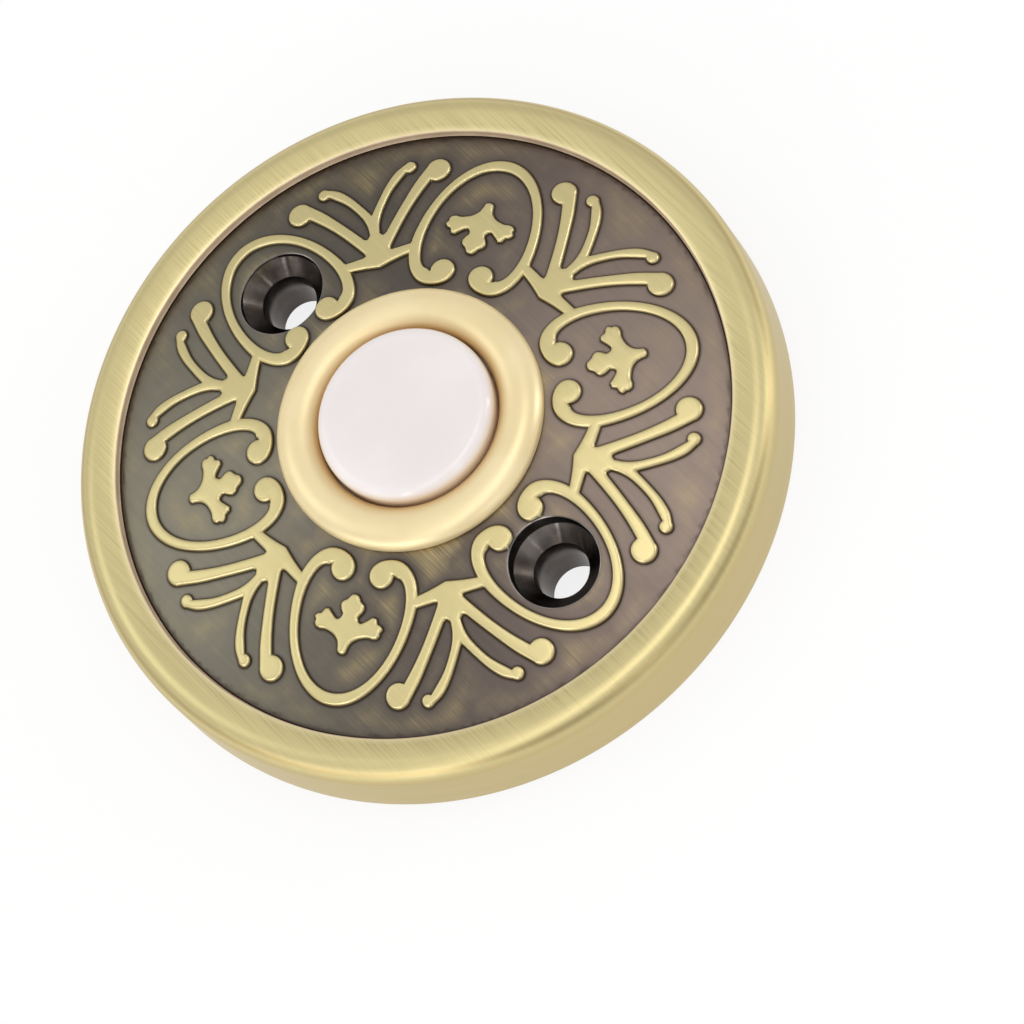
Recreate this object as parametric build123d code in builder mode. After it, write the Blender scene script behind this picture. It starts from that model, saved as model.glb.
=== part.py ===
from build123d import *
from math import cos, radians, sin, sqrt
import os

# Wall push button with a round cast plate. The origin is the centre of the back, +Z points out of the wall.

# Plate
plate_diameter = 63.5
rim_height = 7.0
rim_width = 3.9
rim_round = 1.9
rim_flat_count = 4
rim_fall = 0.35
rim_step = 0.7
rim_bevel = 0.2
base_chamfer = 0.4
dome_radius = 115.0
face_thickness = 2.0
side_wall = 2.3

# Screw holes
screw_spacing = 37.5
screw_bore = 4.9
countersink_diameter = 7.8
countersink_angle = 90.0
countersink_lip = 0.1
boss_wall = 2.4

# Scrollwork
relief_height = 0.4
sector_count = 6
apex_gap = 2.35
curl_gap = 0.35

# Ring and barrel
ring_diameter = 24.1
ring_opening = 16.7
ring_crest = 20.2
ring_height = 1.85
ring_widest = 0.55
ring_underturn = 0.4
ring_inner_drop = 1.2
ring_flat_count = 4
lip_depth = 0.4
barrel_diameter = 20.4
barrel_wall = 1.0
barrel_clearance = 0.15

# Button
button_diameter = 15.88
button_height = 2.65
button_travel = 1.2
button_round = 0.5
button_flat_count = 3
button_roof = 1.6
button_wall = 1.3
flange_thickness = 1.0
flange_clearance = 0.08
flange_rest_gap = 0.05
stem_diameter = 6.4
stem_bore = 4.8
neck_step = 0.3
neck_clearance = 0.02
stake_height = 0.35

# Switch base and terminals
head_clearance = 0.4
screw_head_diameter = 4.6
screw_head_height = 1.1
screw_slot_width = 0.6
screw_slot_depth = 0.5
terminal_screw_diameter = 2.4
terminal_spacing = 11.2
thread_clearance = 0.02
screw_clearance = 0.1
washer_width = 5.0
washer_thickness = 0.5
washer_corner = 0.5
base_thickness = 1.8
base_clearance = 0.03
base_step = 0.3
lug_width = 4.0
lug_height = 0.8
lug_clearance = 0.1
spring_well_depth = 1.0
post_diameter = 2.6
post_height = 2.0
barrier_width = 1.2
barrier_length = 12.0

# Contacts and spring
contact_thickness = 0.4
contact_width = 3.2
contact_arc_angle = 70.0
contact_bump_diameter = 1.3
contact_bump_height = 0.35
contact_bump_angle = 26.0
closed_gap = 0.05
disc_diameter = 13.2
disc_thickness = 0.3
wire_diameter = 0.4
spring_diameter = 3.5
spring_turns = 5
turn_flat_count = 12
wire_sides = 6
spring_end_gap = 0.03

# Retaining clip
clip_diameter = 26.4
clip_thickness = 0.4
clip_flat = 1.6
tooth_count = 8
tooth_slot = 1.2
tooth_drop = 0.6
tooth_clearance = 0.03
clip_margin = 0.4

# Radii
plate_radius = plate_diameter / 2
floor_radius = plate_radius - rim_width
cavity_radius = plate_radius - side_wall
screw_radius = screw_spacing / 2
boss_radius = screw_bore / 2 + boss_wall
ring_radius = ring_diameter / 2
opening_radius = ring_opening / 2
crest_radius = ring_crest / 2
barrel_radius = barrel_diameter / 2
barrel_bore = barrel_radius - barrel_wall
flange_bore = barrel_bore - base_step
flange_radius = flange_bore - flange_clearance
plate_hole = barrel_radius + barrel_clearance
button_radius = button_diameter / 2
stem_radius = stem_diameter / 2
neck_radius = stem_radius - neck_step
base_radius = barrel_bore - base_clearance
terminal_radius = terminal_spacing / 2
shank_radius = terminal_screw_diameter / 2
clip_radius = clip_diameter / 2
land_radius = clip_radius + clip_margin

# Levels above the wall
rim_edge_height = rim_height - rim_fall
floor_edge_height = rim_edge_height - rim_step
dome_center = floor_edge_height - sqrt(dome_radius**2 - floor_radius**2)


def dome_height(radius, offset=0.0):
    return dome_center + sqrt((dome_radius + offset) ** 2 - radius**2)


seat_height = dome_height(ring_radius)
land_height = dome_height(land_radius, -face_thickness)
countersink_top = dome_height(screw_radius + countersink_diameter / 2) - countersink_lip
crest_height = seat_height + ring_height
widest_height = seat_height + ring_widest
lip_bottom = seat_height - lip_depth
flange_top = lip_bottom - flange_rest_gap
flange_bottom = flange_top - flange_thickness
button_top = seat_height + button_height
roof_bottom = button_top - button_roof
head_top = head_clearance + screw_head_height
base_bottom = head_top + washer_thickness
base_top = base_bottom + base_thickness
well_bottom = base_top - spring_well_depth
contact_top = base_top + contact_thickness
disc_bottom = contact_top + contact_bump_height + closed_gap + button_travel
disc_top = disc_bottom + disc_thickness
lug_bottom = base_bottom + (base_thickness - lug_height) / 2

# The scrollwork is drawn for a band of these radii and stretched to the real one
drawn_foot = 12.4
drawn_apex = 25.5
curl_foot = ring_radius + curl_gap
scroll_apex = floor_radius - apex_gap
along = (scroll_apex - curl_foot) / (drawn_apex - drawn_foot)
across = (scroll_apex + curl_foot) / (drawn_apex + drawn_foot)
sector_angle = 360 / sector_count


# Round stretches are turned into short flats: the points of an elliptic arc, without its last one
def arc_flats(center, x_radius, y_radius, start, size, flats):
    angles = [radians(start + size * step / flats) for step in range(flats)]
    return [(center[0] + x_radius * cos(a), center[1] + y_radius * sin(a)) for a in angles]


def stretched(points):
    return [(x * across, curl_foot + (y - drawn_foot) * along) for x, y in points]


# One C-shaped scroll, open towards the ring, with a curl and a bulb at each end
with BuildSketch() as scroll:
    with BuildLine():
        scroll_half = (
            arc_flats((0, 16.6), 5.75, 9.0, 90, -90, 5)
            + arc_flats((2.9, 16.6), 2.85, 4.25, 0, -90, 4)
            + arc_flats((2.9, 13.95), 2.2, 1.6, 270, -90, 3)
            + arc_flats((1.82, 13.95), 1.12, 1.12, 180, -210, 5)
            + arc_flats((3.3, 17.3), 1.5, 3.45, 270, 90, 3)
            + arc_flats((0, 17.3), 4.8, 7.2, 0, 90, 5)
            + [(0, 24.5)]
        )
        Polyline(*stretched(scroll_half), close=True)
    make_face()
    mirror(about=Plane.YZ)

# One fan of four prongs between two scrolls, tied to both by a bar
with BuildSketch() as fan:
    with BuildLine():
        fan_half = (
            [(0, 15.25), (3.25, 15.8), (3.6, 16.66), (1.2, 16.66), (3.3, 20.0)]
            + arc_flats((6.5, 23.4), 1.12, 1.12, 225, 270, 7)
            + [(5.72, 24.18), (3.0, 21.1), (1.05, 18.55), (0.5, 18.45), (0.5, 19.6), (1.3, 21.6)]
            + arc_flats((4.05, 24.6), 0.54, 0.54, 225, 260, 5)
            + [(3.72, 25.03), (1.75, 23.45), (0, 20.75)]
        )
        Polyline(*stretched(fan_half), close=True)
    make_face()
    mirror(about=Plane.YZ)

# One leaf with five points, inside each scroll that holds no screw
with BuildSketch() as leaf:
    with BuildLine():
        leaf_half = (
            [(0, 21.12), (0.4, 20.95), (0.62, 20.1), (1.3, 19.55), (2.75, 19.35), (3.2, 18.5), (2.3, 17.6)]
            + [(1.1, 18.32), (0.7, 17.9), (1.08, 17.0), (0.6, 16.45), (0, 15.95)]
        )
        Polyline(*stretched(leaf_half), close=True)
    make_face()
    mirror(about=Plane.YZ)

with BuildSketch() as scrollwork:
    with PolarLocations(0, sector_count):
        add(scroll.sketch)
    with PolarLocations(0, sector_count, start_angle=sector_angle / 2):
        add(fan.sketch)
    for turn in range(sector_count):
        if turn % (sector_count // 2):
            add(leaf.sketch, rotation=turn * sector_angle)

# The scrollwork follows the dome at a constant height
with BuildPart() as relief:
    with BuildSketch():
        add(scrollwork.sketch)
    extrude(amount=seat_height + rim_height)
    with BuildSketch(Plane.XZ):
        with BuildLine():
            relief_root = -face_thickness / 2
            top_edge = (floor_radius, dome_height(floor_radius, relief_height))
            root_edge = (floor_radius, dome_height(floor_radius, relief_root))
            top_center = (0, dome_height(0, relief_height))
            root_center = (0, dome_height(0, relief_root))
            Line(top_center, root_center)
            RadiusArc(root_center, root_edge, dome_radius + relief_root)
            Line(root_edge, top_edge)
            RadiusArc(top_edge, top_center, -dome_radius - relief_height)
        make_face()
    revolve(axis=Axis.Z, mode=Mode.INTERSECT)

with BuildPart() as face_plate:
    with BuildSketch(Plane.XZ):
        with BuildLine():
            rim_top = plate_radius - rim_round
            shoulder = rim_height - rim_round
            floor_edge = (floor_radius, floor_edge_height)
            ring_edge = (ring_radius, seat_height)
            land_edge = (land_radius, land_height)
            Polyline(
                land_edge,
                (cavity_radius, dome_height(cavity_radius, -face_thickness)),
                (cavity_radius, 0),
                (plate_radius - base_chamfer, 0),
                (plate_radius, base_chamfer),
                *arc_flats((rim_top, shoulder), rim_round, rim_round, 0, 90, rim_flat_count),
                (rim_top, rim_height),
                (floor_radius + rim_bevel, rim_edge_height),
                floor_edge,
            )
            RadiusArc(floor_edge, ring_edge, -dome_radius)
            Polyline(ring_edge, (plate_hole, seat_height), (plate_hole, land_height), land_edge)
        make_face()
    revolve(axis=Axis.Z)
    with BuildSketch():
        with Locations((0, screw_radius), (0, -screw_radius)):
            Circle(boss_radius)
    extrude(until=Until.NEXT)
    add(relief.part)
    with Locations((0, screw_radius, countersink_top), (0, -screw_radius, countersink_top)):
        CounterSinkHole(screw_bore / 2, countersink_diameter / 2, counter_sink_angle=countersink_angle)

# Gold bead with the barrel that guides the button
with BuildPart() as button_ring:
    with BuildSketch(Plane.XZ):
        with BuildLine():
            inner_height = crest_height - ring_inner_drop
            foot_radius = ring_radius - ring_underturn
            outer_swell = ring_radius - crest_radius
            inner_swell = crest_radius - opening_radius
            outer_rise = ring_height - ring_widest
            inner_center = (crest_radius, inner_height)
            foot_count = ring_flat_count // 2
            Polyline(
                *arc_flats((foot_radius, widest_height), ring_underturn, ring_widest, 270, 90, foot_count),
                *arc_flats((crest_radius, widest_height), outer_swell, outer_rise, 0, 90, ring_flat_count),
                *arc_flats(inner_center, inner_swell, ring_inner_drop, 90, 90, ring_flat_count),
                (opening_radius, inner_height),
                (opening_radius, lip_bottom),
                (flange_bore, lip_bottom),
                (flange_bore, base_top),
                (barrel_bore, base_top),
                (barrel_bore, base_bottom),
                (barrel_radius, base_bottom),
                (barrel_radius, seat_height),
                close=True,
            )
        make_face()
    revolve(axis=Axis.Z)
    # Windows in the barrel for the lugs of the base
    with Locations((0, 0, lug_bottom + lug_height / 2)):
        Box(
            lug_width + 2 * lug_clearance,
            2 * barrel_radius,
            lug_height + 2 * lug_clearance,
            mode=Mode.SUBTRACT,
        )

with BuildPart() as push_button:
    with BuildSketch(Plane.XZ):
        with BuildLine():
            skirt_bore = button_radius - button_wall
            stake_bottom = disc_bottom - stake_height
            round_center = (button_radius - button_round, button_top - button_round)
            Polyline(
                (0, roof_bottom),
                (0, button_top),
                *arc_flats(round_center, button_round, button_round, 90, -90, button_flat_count),
                (button_radius, button_top - button_round),
                (button_radius, flange_top),
                (flange_radius, flange_top),
                (flange_radius, flange_bottom),
                (skirt_bore, flange_bottom),
                (skirt_bore, roof_bottom),
                (stem_radius, roof_bottom),
                (stem_radius, disc_top),
                (neck_radius, disc_top),
                (neck_radius, disc_bottom),
                (stem_radius, disc_bottom),
                (stem_radius, stake_bottom),
                (stem_bore / 2, stake_bottom),
                (stem_bore / 2, roof_bottom),
                close=True,
            )
        make_face()
    revolve(axis=Axis.Z)

# Insulating base with a well and a post for the spring and a barrier between the terminals
with BuildPart() as switch_base:
    with BuildSketch(Plane.XY.offset(base_bottom)):
        Circle(base_radius)
        with Locations((terminal_radius, 0), (-terminal_radius, 0)):
            Circle(shank_radius + screw_clearance, mode=Mode.SUBTRACT)
    extrude(amount=base_thickness)
    with BuildSketch(Plane.XY.offset(lug_bottom)):
        Rectangle(lug_width, 2 * barrel_radius)
        Circle(barrel_radius, mode=Mode.INTERSECT)
        Circle(barrel_bore - base_step, mode=Mode.SUBTRACT)
    extrude(amount=lug_height)
    with BuildSketch(Plane.XY.offset(well_bottom)):
        Circle(stem_bore / 2)
    extrude(amount=spring_well_depth, mode=Mode.SUBTRACT)
    with BuildSketch(Plane.XY.offset(well_bottom)):
        Circle(post_diameter / 2)
    extrude(amount=spring_well_depth + post_height)
    with BuildSketch(Plane.XY.offset(base_bottom)):
        SlotOverall(barrier_length, barrier_width, rotation=90)
    extrude(amount=-washer_thickness - screw_head_height)

with BuildPart() as contact_disc:
    with BuildSketch(Plane.XY.offset(disc_bottom)):
        Circle(disc_diameter / 2)
        Circle(neck_radius + neck_clearance, mode=Mode.SUBTRACT)
    extrude(amount=disc_thickness)

# Left and right contact strip, each with two bumps under the disc
contacts = {}
for side, facing in (("left", 180), ("right", 0)):
    with BuildPart() as contact:
        with BuildSketch(Plane.XY.offset(base_top).rotated((0, 0, facing))):
            with BuildLine(mode=Mode.PRIVATE) as strip_line:
                CenterArc((0, 0), terminal_radius, -contact_arc_angle / 2, contact_arc_angle)
            SlotArc(strip_line.edge(), contact_width)
            with Locations((terminal_radius, 0)):
                Circle(shank_radius + thread_clearance, mode=Mode.SUBTRACT)
        extrude(amount=contact_thickness)
        with BuildSketch(Plane.XY.offset(contact_top).rotated((0, 0, facing))):
            with PolarLocations(
                terminal_radius, 2, start_angle=-contact_bump_angle, angular_range=4 * contact_bump_angle
            ):
                Circle(contact_bump_diameter / 2)
        extrude(amount=contact_bump_height)
    contacts[side] = contact

# Terminal screws and their square washers, heads towards the wall
screws = {}
washers = {}
for side, x in (("left", -terminal_radius), ("right", terminal_radius)):
    with BuildPart() as screw:
        with BuildSketch(Plane.XY.offset(head_clearance)):
            with Locations((x, 0)):
                Circle(screw_head_diameter / 2)
        extrude(amount=screw_head_height)
        with BuildSketch(Plane.XY.offset(head_top)):
            with Locations((x, 0)):
                Circle(shank_radius)
        extrude(amount=contact_top - head_top)
        with BuildSketch(Plane.XY.offset(head_clearance)):
            with Locations((x, 0)):
                Rectangle(screw_head_diameter, screw_slot_width)
        extrude(amount=screw_slot_depth, mode=Mode.SUBTRACT)
    screws[side] = screw
    with BuildPart() as washer:
        with BuildSketch(Plane.XY.offset(head_top)):
            with Locations((x, 0)):
                RectangleRounded(washer_width, washer_width, washer_corner)
                Circle(shank_radius + screw_clearance, mode=Mode.SUBTRACT)
        extrude(amount=washer_thickness)
    washers[side] = washer

# Coil spring between the well of the base and the roof of the button
with BuildPart() as return_spring:
    wire_radius = wire_diameter / 2
    coil_bottom = well_bottom + wire_radius + spring_end_gap
    coil_top = roof_bottom - wire_radius - spring_end_gap
    flats = spring_turns * turn_flat_count
    with BuildLine() as coil:
        circle = arc_flats((0, 0), spring_diameter / 2, spring_diameter / 2, 0, 360, turn_flat_count)
        rise = (coil_top - coil_bottom) / flats
        Polyline(*[(*circle[step % turn_flat_count], coil_bottom + rise * step) for step in range(flats + 1)])
    with BuildSketch(Plane(origin=coil.line @ 0, z_dir=coil.line % 0)):
        RegularPolygon(wire_radius, wire_sides)
    sweep(transition=Transition.RIGHT)

# Push-on clip: a flat ring with teeth that bend away from the plate and bite the barrel
with BuildPart() as retaining_clip:
    with BuildSketch(Plane.XZ):
        with BuildLine():
            bend_radius = clip_radius - clip_flat
            tooth_tip = barrel_radius + tooth_clearance
            clip_bottom = land_height - clip_thickness
            Polyline(
                (clip_radius, land_height),
                (bend_radius, land_height),
                (tooth_tip, land_height - tooth_drop),
                (tooth_tip, clip_bottom - tooth_drop),
                (bend_radius, clip_bottom),
                (clip_radius, clip_bottom),
                close=True,
            )
        make_face()
    revolve(axis=Axis.Z)
    with BuildSketch(Plane.XY.offset(clip_bottom - tooth_drop)):
        with PolarLocations((tooth_tip + bend_radius) / 2, tooth_count):
            Rectangle(bend_radius - tooth_tip + tooth_slot, tooth_slot)
    extrude(amount=clip_thickness + tooth_drop, mode=Mode.SUBTRACT)

nodes = {
    "face_plate": face_plate,
    "button_ring": button_ring,
    "push_button": push_button,
    "switch_base": switch_base,
    "contact_disc": contact_disc,
    "left_contact": contacts["left"],
    "right_contact": contacts["right"],
    "left_terminal_screw": screws["left"],
    "right_terminal_screw": screws["right"],
    "left_wire_washer": washers["left"],
    "right_wire_washer": washers["right"],
    "return_spring": return_spring,
    "retaining_clip": retaining_clip,
}

os.makedirs("parts", exist_ok=True)
for name, node in nodes.items():
    node.part.label = name
    export_step(node.part, f"parts/{name}.step")
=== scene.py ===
import math

import bmesh
import bpy
import numpy as np
from mathutils import Matrix, Quaternion, Vector
from mathutils.geometry import delaunay_2d_cdt
from mathutils.kdtree import KDTree


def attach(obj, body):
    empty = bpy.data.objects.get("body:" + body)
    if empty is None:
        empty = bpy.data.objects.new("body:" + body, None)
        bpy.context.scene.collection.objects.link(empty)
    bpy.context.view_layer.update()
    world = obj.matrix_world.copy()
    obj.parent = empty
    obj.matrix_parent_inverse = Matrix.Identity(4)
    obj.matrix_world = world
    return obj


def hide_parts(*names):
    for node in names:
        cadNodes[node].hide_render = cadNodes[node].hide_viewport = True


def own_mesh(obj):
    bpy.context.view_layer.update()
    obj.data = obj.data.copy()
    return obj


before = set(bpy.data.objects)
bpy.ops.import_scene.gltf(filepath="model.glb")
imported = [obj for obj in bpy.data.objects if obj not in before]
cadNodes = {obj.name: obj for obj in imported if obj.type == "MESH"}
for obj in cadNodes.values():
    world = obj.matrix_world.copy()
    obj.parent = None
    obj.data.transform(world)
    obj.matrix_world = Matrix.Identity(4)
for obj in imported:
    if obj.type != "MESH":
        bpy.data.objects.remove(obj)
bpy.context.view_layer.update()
mm = 0.001  # lengths below are in millimetres unless a line says otherwise
weldGap = 0.004
print("frame loaded:", len(cadNodes), "nodes")


# small mesh helpers
def arcPoints(center, xRadius, yRadius, start, size, steps):
    turns = np.radians(start + size * np.arange(steps + 1) / steps)
    return np.column_stack([center[0] + xRadius * np.cos(turns), center[1] + yRadius * np.sin(turns)])


def latheGrid(profile, steps):
    # rows of points turned about Z: the profile runs down on outsides and up in bores
    profile = np.asarray(profile, float)
    turns = np.arange(steps) / steps * 2 * np.pi
    points = np.empty((len(profile), steps, 3))
    points[:, :, 0] = profile[:, :1] * np.cos(turns)
    points[:, :, 1] = profile[:, :1] * np.sin(turns)
    points[:, :, 2] = profile[:, 1:]
    return points


def gridFaces(rows, steps, first=0):
    faces = []
    for row in range(rows - 1):
        for step in range(steps):
            after = (step + 1) % steps
            low, high = first + row * steps, first + (row + 1) * steps
            faces.append((low + step, high + step, high + after, low + after))
    return faces


def makePiece(name, points, faces, materials, body, faceSlots=None, sharpAngle=32):
    mesh = bpy.data.meshes.new(name)
    mesh.from_pydata((np.asarray(points) * mm).tolist(), [], faces)
    for material in materials:
        mesh.materials.append(material)
    if faceSlots is not None:
        mesh.polygons.foreach_set("material_index", faceSlots)
    work = bmesh.new()
    work.from_mesh(mesh)
    bmesh.ops.remove_doubles(work, verts=work.verts, dist=weldGap * mm)
    work.to_mesh(mesh)
    work.free()
    mesh.polygons.foreach_set("use_smooth", [True] * len(mesh.polygons))
    mesh.set_sharp_from_angle(angle=math.radians(sharpAngle))
    piece = bpy.data.objects.new(name, mesh)
    bpy.context.collection.objects.link(piece)
    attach(piece, body)
    print("piece", name, len(mesh.polygons), "faces")
    return piece


# shader helpers
def addNode(tree, kind, **values):
    node = tree.nodes.new(kind)
    for key, value in values.items():
        setattr(node, key, value)
    return node


def startMaterial(name):
    material = bpy.data.materials.new(name)
    material.use_nodes = True
    tree = material.node_tree
    return material, tree, tree.nodes["Principled BSDF"]


def startGroup(name, inputs, outputs):
    group = bpy.data.node_groups.new(name, "ShaderNodeTree")
    for label, default in inputs.items():
        socket = group.interface.new_socket(label, in_out="INPUT", socket_type="NodeSocketFloat")
        socket.default_value = default
    for label in outputs:
        group.interface.new_socket(label, in_out="OUTPUT", socket_type="NodeSocketFloat")
    return group, group.nodes.new("NodeGroupInput"), group.nodes.new("NodeGroupOutput")


def placeGroup(tree, group, **values):
    node = addNode(tree, "ShaderNodeGroup", node_tree=group)
    for label, value in values.items():
        node.inputs[label].default_value = value
    return node


def mixColors(tree, factor, first, second, blend="MIX"):
    # first and second are colours or sockets; factor is a socket or a number
    node = addNode(tree, "ShaderNodeMix", data_type="RGBA", blend_type=blend)
    for socket, value in ((node.inputs[0], factor), (node.inputs[6], first), (node.inputs[7], second)):
        if isinstance(value, bpy.types.NodeSocket):
            tree.links.new(value, socket)
        else:
            socket.default_value = value
    return node.outputs[2]


def spread(tree, value, low, high):
    # a 0 to 1 value spread over another range
    node = addNode(tree, "ShaderNodeMapRange")
    tree.links.new(value, node.inputs["Value"])
    node.inputs["To Min"].default_value = low
    node.inputs["To Max"].default_value = high
    return node.outputs["Result"]


def attributeValue(tree, name):
    return addNode(tree, "ShaderNodeAttribute", attribute_name=name).outputs["Fac"]


def bumpFrom(tree, height, shader, strength, distance):
    node = addNode(tree, "ShaderNodeBump")
    node.inputs["Strength"].default_value = strength
    node.inputs["Distance"].default_value = distance
    tree.links.new(height, node.inputs["Height"])
    tree.links.new(node.outputs["Normal"], shader.inputs["Normal"])


def rgb(red, green, blue):
    # display values 0 to 255 to a linear colour
    def linear(value):
        value /= 255
        return value / 12.92 if value <= 0.04045 else ((value + 0.055) / 1.055) ** 2.4
    return (linear(red), linear(green), linear(blue), 1)


# shared effects
def brushedGroup():
    # fine lines along the axis with the smallest scale, as a belt or a lathe leaves them
    group, given, result = startGroup(
        "brushedLines", {"X": 7000.0, "Y": 110.0, "Z": 7000.0, "Breakup": 0.2}, ["Lines", "Bands"]
    )
    place = addNode(group, "ShaderNodeTexCoord")
    scale = addNode(group, "ShaderNodeCombineXYZ")
    for axis in "XYZ":
        group.links.new(given.outputs[axis], scale.inputs[axis])
    stretched = addNode(group, "ShaderNodeVectorMath", operation="MULTIPLY")
    group.links.new(place.outputs["Object"], stretched.inputs[0])
    group.links.new(scale.outputs[0], stretched.inputs[1])
    for label, size, detail in (("Lines", 1.0, 1.5), ("Bands", 0.16, 2.0)):
        noise = addNode(group, "ShaderNodeTexNoise")
        noise.inputs["Scale"].default_value = size
        noise.inputs["Detail"].default_value = detail
        group.links.new(given.outputs["Breakup"], noise.inputs["Distortion"])
        group.links.new(stretched.outputs[0], noise.inputs["Vector"])
        group.links.new(noise.outputs["Fac"], result.inputs[label])
    return group


def mottleGroup():
    # soft cloudy variation of a finish
    group, given, result = startGroup("mottle", {"Scale": 200.0, "Low": 0.35, "High": 0.65}, ["Mask"])
    place = addNode(group, "ShaderNodeTexCoord")
    noise = addNode(group, "ShaderNodeTexNoise")
    noise.inputs["Detail"].default_value = 4.0
    ramp = addNode(group, "ShaderNodeMapRange", interpolation_type="SMOOTHSTEP")
    group.links.new(place.outputs["Object"], noise.inputs["Vector"])
    group.links.new(given.outputs["Scale"], noise.inputs["Scale"])
    group.links.new(noise.outputs["Fac"], ramp.inputs["Value"])
    group.links.new(given.outputs["Low"], ramp.inputs["From Min"])
    group.links.new(given.outputs["High"], ramp.inputs["From Max"])
    group.links.new(ramp.outputs["Result"], result.inputs["Mask"])
    return group


def grainGroup():
    # the fine skin of a casting or a moulding
    group, given, result = startGroup("surfaceGrain", {"Scale": 4000.0, "Coarse": 0.3}, ["Height"])
    place = addNode(group, "ShaderNodeTexCoord")
    noise = addNode(group, "ShaderNodeTexNoise")
    noise.inputs["Detail"].default_value = 3.0
    group.links.new(place.outputs["Object"], noise.inputs["Vector"])
    group.links.new(given.outputs["Scale"], noise.inputs["Scale"])
    group.links.new(given.outputs["Coarse"], noise.inputs["Roughness"])
    group.links.new(noise.outputs["Fac"], result.inputs["Height"])
    return group


brushedLines = brushedGroup()
mottle = mottleGroup()
surfaceGrain = grainGroup()


# finishes: colours, ranges from low to high, scales per metre, bumps as strength and metres
brassFinish = {
    "brass": rgb(221, 207, 154),
    "brassDeep": rgb(207, 193, 141),
    "scratch": rgb(150, 132, 92),
    # painted highlight along the carved edges and the rim's inner edge
    "edge": rgb(240, 226, 178),
    # painted dark reflection in a line along the rim's shoulder
    "shoulderDarkReflection": rgb(150, 122, 74),
    # painted warm bounce light on the outer wall
    "wallWarmBounce": (0.87, 0.82, 0.78, 1),
    "oliveGrey": rgb(126, 121, 109),
    "purpleGrey": rgb(136, 122, 113),
    "shade": (0.84, 0.84, 0.84, 1),
    # painted sheen: the floor's patina lighter and darker with the angle around the plate, as brushed metal
    # catches light
    "paintedSheenAngle": 145.0,
    "paintedSheenLow": (0.58, 0.58, 0.61, 1),
    "paintedSheenHigh": (1.22, 1.22, 1.22, 1),
    "worn": rgb(186, 168, 124),
    # dark patina along the feet of the carving and the rim's step, deepened with painted shade
    "footPatinaAndShade": rgb(48, 37, 28),
    "belt": {"X": 11000.0, "Y": 90.0, "Z": 200.0, "Breakup": 0.1},
    "turned": {"X": 60.0, "Y": 60.0, "Z": 9000.0, "Breakup": 0.1},
    "clouds": {"Scale": 170.0, "Low": 0.36, "High": 0.66},
    "scratchShare": (0.8, -0.6),
    "shadeShare": (1.2, -0.2),
    "wornShare": (-0.2, 1.5),
    "roughness": (0.36, 0.44),
    "floorRoughness": (0.04, 0.0),
    "bump": (0.15, 0.00002),
}


def antiqueBrassMaterial():
    material, tree, shader = startMaterial("antiqueBrass")
    links = tree.links
    belt = placeGroup(tree, brushedLines, **brassFinish["belt"])
    turned = placeGroup(tree, brushedLines, **brassFinish["turned"])
    clouds = placeGroup(tree, mottle, **brassFinish["clouds"])
    wall = attributeValue(tree, "wall")
    carved = attributeValue(tree, "carved")

    def pickLines(label):
        # turned lines on the wall, belt lines elsewhere
        node = addNode(tree, "ShaderNodeMix", data_type="FLOAT")
        links.new(wall, node.inputs[0])
        links.new(belt.outputs[label], node.inputs[2])
        links.new(turned.outputs[label], node.inputs[3])
        return node.outputs[0]

    def times(first, second):
        node = addNode(tree, "ShaderNodeMath", operation="MULTIPLY")
        links.new(first, node.inputs[0])
        links.new(second, node.inputs[1])
        return node.outputs[0]

    lines, bands = pickLines("Lines"), pickLines("Bands")
    brass = mixColors(tree, lines, brassFinish["brassDeep"], brassFinish["brass"])
    scratches = times(spread(tree, lines, *brassFinish["scratchShare"]), attributeValue(tree, "rim"))
    brass = mixColors(tree, scratches, brass, brassFinish["scratch"])
    # painted highlight along the carved edges and the rim's inner edge
    brass = mixColors(tree, attributeValue(tree, "edge"), brass, brassFinish["edge"])
    # painted dark reflection in a line along the rim's shoulder
    brass = mixColors(tree, attributeValue(tree, "shoulderDarkReflection"), brass, brassFinish["shoulderDarkReflection"])
    # the outer wall gets a painted warm bounce light
    brass = mixColors(tree, wall, brass, mixColors(tree, 1.0, brass, brassFinish["wallWarmBounce"], "MULTIPLY"))
    dark = mixColors(tree, attributeValue(tree, "tone"), brassFinish["oliveGrey"], brassFinish["purpleGrey"])
    shadeShare = spread(tree, bands, *brassFinish["shadeShare"])
    dark = mixColors(tree, shadeShare, dark, brassFinish["shade"], "MULTIPLY")
    # painted sheen on the floor's patina
    paintedSheen = mixColors(tree, attributeValue(tree, "paintedSheen"), brassFinish["paintedSheenLow"], brassFinish["paintedSheenHigh"])
    dark = mixColors(tree, 1.0, dark, paintedSheen, "MULTIPLY")
    worn = times(clouds.outputs["Mask"], attributeValue(tree, "hub"))
    worn = times(worn, spread(tree, lines, *brassFinish["wornShare"]))
    worn = times(worn, attributeValue(tree, "open"))
    dark = mixColors(tree, worn, dark, brassFinish["worn"])
    # dark patina with painted shade along the feet of the carving and the rim's step
    dark = mixColors(tree, attributeValue(tree, "footPatinaAndShade"), dark, brassFinish["footPatinaAndShade"])
    links.new(mixColors(tree, carved, dark, brass), shader.inputs["Base Color"])
    rough = addNode(tree, "ShaderNodeMath", operation="ADD")
    links.new(spread(tree, lines, *brassFinish["roughness"]), rough.inputs[0])
    links.new(spread(tree, carved, *brassFinish["floorRoughness"]), rough.inputs[1])
    links.new(rough.outputs[0], shader.inputs["Roughness"])
    shader.inputs["Metallic"].default_value = 1.0
    bumpFrom(tree, lines, shader, *brassFinish["bump"])
    return material


cloudRange = {"Low": 0.3, "High": 0.7}


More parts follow.
